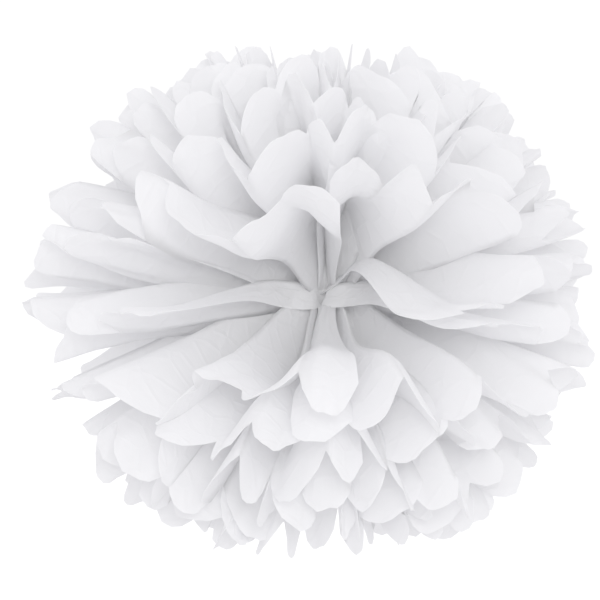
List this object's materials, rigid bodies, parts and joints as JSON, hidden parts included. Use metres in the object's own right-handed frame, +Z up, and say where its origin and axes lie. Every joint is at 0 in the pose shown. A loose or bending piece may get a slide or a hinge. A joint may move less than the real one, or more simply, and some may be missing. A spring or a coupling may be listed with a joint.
{
  "type": "tissue paper pom pom",
  "caption": "Round hanging decoration of pleated white tissue sheets, tied in the middle and fanned out into a ball of rounded petals.",
  "frame": {"origin": "the middle of the tie, where all the sheets are gathered", "axes": "+Z up, the way the upper sheets are pulled and the part hangs; X along the pleated strip; -Y the front, where the two fanned ends meet and the sheets level with the tie stand open"},
  "size_m": [0.3094, 0.3133, 0.27],
  "materials": {
    "tissue": "matte, thin and translucent",
    "tie_wire": "thin wire wound in white paper"
  },
  "bodies": {
    "root": {"sheet_01": "tissue", "sheet_02": "tissue", "sheet_03": "tissue", "sheet_04": "tissue", "sheet_05": "tissue", "sheet_06": "tissue", "sheet_07": "tissue", "sheet_08": "tissue", "sheet_09": "tissue", "sheet_10": "tissue", "sheet_11": "tissue", "sheet_12": "tissue", "tie_wire": "tie_wire"}
  },
  "joints": []
}
